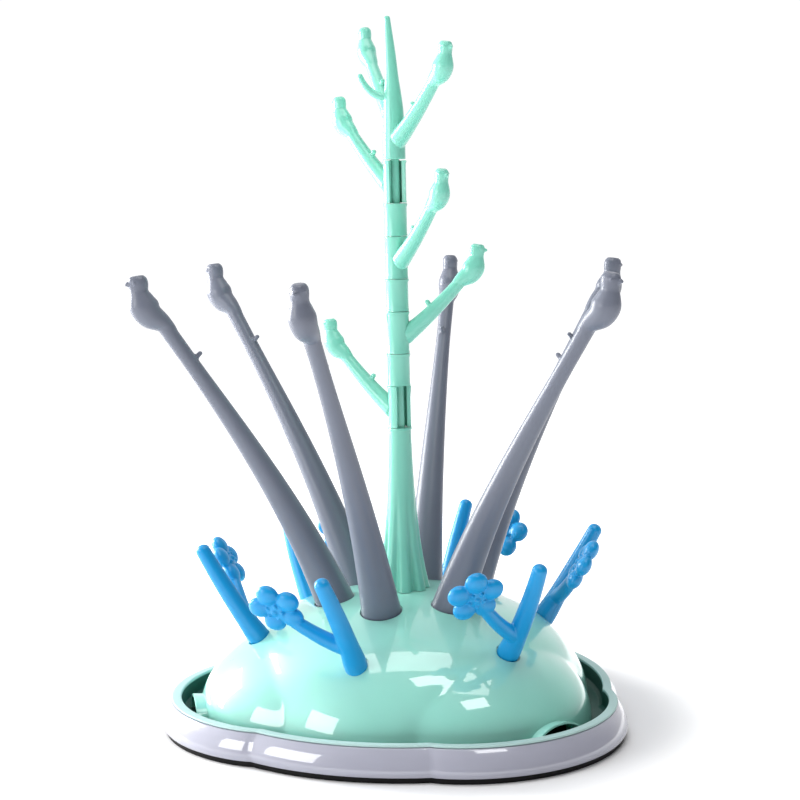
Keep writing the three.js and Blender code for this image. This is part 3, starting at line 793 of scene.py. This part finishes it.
def trunk_outline():
    """The closed [radius, height] loop of the trunk, up its side and down its axis."""
    taper = through([
        [15.4, TRUNK_BOTTOM], [14.2, 79], [12.8, 86], [10.9, 98], [9.6, 109], [8.2, 124], [7.1, 141],
        [6.55, 155], [TRUNK_RADIUS, 164.5], [TRUNK_RADIUS + 0.5, TAPER_TOP - 0.8],
    ], 70)
    side = [*taper.tolist(), [TRUNK_RADIUS + 0.3, TAPER_TOP]]
    for bottom in NECKS:
        if bottom > TAPER_TOP:
            side += lipped(bottom - CLIP_PITCH + CLIP_HEIGHT, bottom, TRUNK_RADIUS)
        side += [[CORE_RADIUS, bottom], [CORE_RADIUS, bottom + CLIP_HEIGHT]]
    tip = TRUNK_TOP + SPIGOT_LENGTH
    spigot = [[SPIGOT_RADIUS, TRUNK_TOP], [SPIGOT_RADIUS, tip - 1], [SPIGOT_RADIUS - 0.7, tip]]
    return [*side, *spigot, [AXIS, tip], [AXIS, TRUNK_BOTTOM]]


def make_trunk():
    points, faces = lathe(trunk_outline(), segments=192)
    points = sit_on_dome(flutes(points), np.array([0, 0, 1.0]))
    radius, length = TRUNK_PLUG
    core = [(0, 0, DOME_HEIGHT + 1.4), (0, 0, DOME_HEIGHT - length + 1.2)]
    plug = tube(*rounded(core, [radius, radius], cap=1.2), sides=40)
    trunk = thing("fluted_trunk", together((points, faces), plug), TREE_MINT_PAINTED_SHADE)
    stand_in(trunk, "trunk", "trunk")


# ---- branches ----
PERCH = np.array([34.2, 0, 26.2])


def branch_solids():
    """A branch towards +X with its bud and its bird, its heel at the trunk's axis."""
    path = bezier([(4.6, 0, -1.5), (19, 0, 9.5), (35.2, 0, 27.4)], 50)
    radii = np.interp(np.linspace(0, 1, 50), [0, 0.3, 0.7, 1], [5.2, 4.5, 3.8, 3.4])
    heel = ball([5.0, 0, -1.0], [4.9, 4.9, 5.8])
    stem = tube(*rounded(path, radii, cap=2.4))
    return [heel, stem, *shifted(bird(), PERCH), *bud(path, part=0.52, reach=5.8)]


def clip_ring():
    """A C that hugs the trunk's neck, its mouth away from the branch."""
    half = CLIP_HEIGHT / 2 - GAP
    side = lipped(-half, half, TRUNK_RADIUS)
    section = [*side, [CLIP_BORE, half], [CLIP_BORE, -half]]
    sweep = 180 + MOUTH_TURN + np.linspace(CLIP_MOUTH / 2, 360 - CLIP_MOUTH / 2, 60)
    rings = [[(r * math.cos(radians(a)), r * math.sin(radians(a)), z) for r, z in section] for a in sweep]
    return skin(rings)


def make_branches():
    """The four clip-on branches, each arm pushed clear of the clip's bore."""
    points, faces = fused("branch", branch_solids(), voxel=0.32, smoothing=4, keep=0.45)
    distance = np.hypot(points[:, 0], points[:, 1])
    inner = CLIP_BORE + 0.6
    push = np.where((distance < inner) & (distance > 0), inner / np.maximum(distance, 0.1), 1)
    solid = together(clip_ring(), (scaled_across(points, push), faces))
    for i, (azimuth, neck) in enumerate(zip(CLIP_AZIMUTHS, NECKS), 1):
        placed = turned(solid[0], azimuth - 90) + (0, 0, neck + CLIP_HEIGHT / 2)
        name = f"bird_branch_{i}"
        branch = thing(f"branch_with_bird_{i}", (placed, solid[1]), TREE_MINT_PAINTED_SHADE, sharp=50)
        stand_in(branch, name, name)


# ---- tree top ----
def shoot_solid(root):
    out = direction(SHOOT_AZIMUTH)
    path = bezier([root, root + out * 13 - (0, 0, 1), root + out * 18 + (0, 0, 12)], 30)
    path, radii = rounded(path, np.linspace(2.6, 1.5, 30), cap=1.2)
    return tube(path, radii, sides=20, sideways=direction(SHOOT_AZIMUTH + 90))


def make_tree_top():
    bottom = TRUNK_TOP + GAP
    lean = direction(SHOOT_AZIMUTH)
    path = through([(0, 0, bottom), (0, 0, bottom + 28), lean * 0.8 + (0, 0, bottom + 50),
                    lean * 2.4 + (0, 0, TREE_TIP)], 80)
    radii = np.interp(np.linspace(0, 1, 80), [0, 0.1, 0.33, 0.58, 0.78, 1],
                      [TRUNK_RADIUS, TRUNK_RADIUS, 5.6, 3.9, 3.1, 1.7])
    solids = [tube(*rounded(path, radii, cap=1.4), sides=36)]
    for azimuth, root in TOP_BRANCHES:
        turned_branch = [swung(solid, azimuth - 90) for solid in branch_solids()]
        solids += shifted(turned_branch, (0, 0, bottom + root))
    solids.append(shoot_solid(np.array([0, 0, bottom + 34])))
    solid = fused("tree_top", solids, voxel=0.35, smoothing=4, keep=0.45)
    top = thing("tree_top_with_birds", solid, TREE_MINT_PAINTED_SHADE, sharp=50)
    bore = [(0, 0, bottom - 2), (0, 0, bottom + SPIGOT_LENGTH + GAP)]
    carve(top, tube(bore, [SPIGOT_RADIUS + GAP] * 2, sides=24, sideways=(1, 0, 0)))
    finish_mesh(top, TREE_MINT_PAINTED_SHADE, sharp=50)
    stand_in(top, "tree_top", "tree_top")


make_foot_band()
make_tray()
make_basin()
make_dome()
make_poles()
make_twigs()
make_trunk()
make_branches()
make_tree_top()


# ---- the studio ----
def turn_to(obj, ahead, roll=0):
    """Points an object's -Z along a direction."""
    obj.rotation_mode = "QUATERNION"
    obj.rotation_quaternion = ahead.to_track_quat("-Z", "Y") @ Quaternion((0, 0, 1), radians(roll))


def area_light(name, azimuth, distance, height, size, power):
    light = bpy.data.lights.new(name, "AREA")
    light.shape = "RECTANGLE"
    light.size, light.size_y = size
    light.energy = power
    obj = bpy.data.objects.new(name, light)
    obj.location = Vector(direction(azimuth) * distance) + Vector((0, 0, height))
    turn_to(obj, Vector(AIM) - obj.location)
    bpy.context.scene.collection.objects.link(obj)


def floor_material():
    """A matt white that starts to glow away from the rack, so that it runs into the white room."""
    white = bpy.data.materials.new("floor_white")
    white.use_nodes = True
    nodes, links = white.node_tree.nodes, white.node_tree.links
    shader = nodes["Principled BSDF"]
    shader.inputs["Base Color"].default_value = (0.9, 0.9, 0.905, 1)
    shader.inputs["Roughness"].default_value = 0.9
    shader.inputs["Specular IOR Level"].default_value = 0.0
    shader.inputs["Emission Color"].default_value = (1, 1, 1, 1)
    away = nodes.new("ShaderNodeVectorMath")
    away.operation = "LENGTH"
    links.new(nodes.new("ShaderNodeTexCoord").outputs["Object"], away.inputs[0])
    glow = map_range(nodes, links, away.outputs["Value"], GLOW_RADII, (0, FLOOR_GLOW), "SMOOTHSTEP")
    links.new(glow, shader.inputs["Emission Strength"])
    return white


def make_floor():
    far = FLOOR_REACH / MM
    corners = [(-far, -far, 0), (far, -far, 0), (far, far, 0), (-far, far, 0)]
    floor = thing("floor", (corners, [(0, 1, 2, 3)]))
    floor.data.materials.append(floor_material())


def make_room():
    """A room that is bright behind the rack and dark towards the camera's right."""
    world = bpy.data.worlds.new("pale_room")
    world.use_nodes = True
    nodes, links = world.node_tree.nodes, world.node_tree.links
    toward = nodes.new("ShaderNodeVectorMath")
    toward.operation = "DOT_PRODUCT"
    toward.inputs[1].default_value = direction(ROOM_BRIGHT_AZIMUTH)
    links.new(nodes.new("ShaderNodeTexCoord").outputs["Generated"], toward.inputs[0])
    fall = map_range(nodes, links, toward.outputs["Value"], ROOM_FADE, (ROOM_DARK, ROOM_BRIGHT), "SMOOTHSTEP")
    background = nodes["Background"]
    links.new(fall, background.inputs["Strength"])
    background.inputs["Color"].default_value = (1.0, 0.995, 1.0, 1)
    bpy.context.scene.world = world
    bpy.context.scene.view_settings.view_transform = "Standard"


def make_camera():
    data = bpy.data.cameras.new("camera")
    data.lens = CAMERA_LENS
    data.clip_end = 100
    camera = bpy.data.objects.new("camera", data)
    camera.location = Vector(direction(CAMERA_AZIMUTH) * CAMERA_DISTANCE) + Vector((0, 0, CAMERA_HEIGHT))
    level = Vector(-direction(CAMERA_HEADING)) * math.cos(radians(CAMERA_PITCH))
    turn_to(camera, level - Vector((0, 0, math.sin(radians(CAMERA_PITCH)))), -CAMERA_ROLL)
    bpy.context.scene.collection.objects.link(camera)
    bpy.context.scene.camera = camera


make_floor()
make_room()
for light_name, from_camera, *placing in LIGHTS:
    area_light(light_name, CAMERA_AZIMUTH + from_camera, *placing)
make_camera()
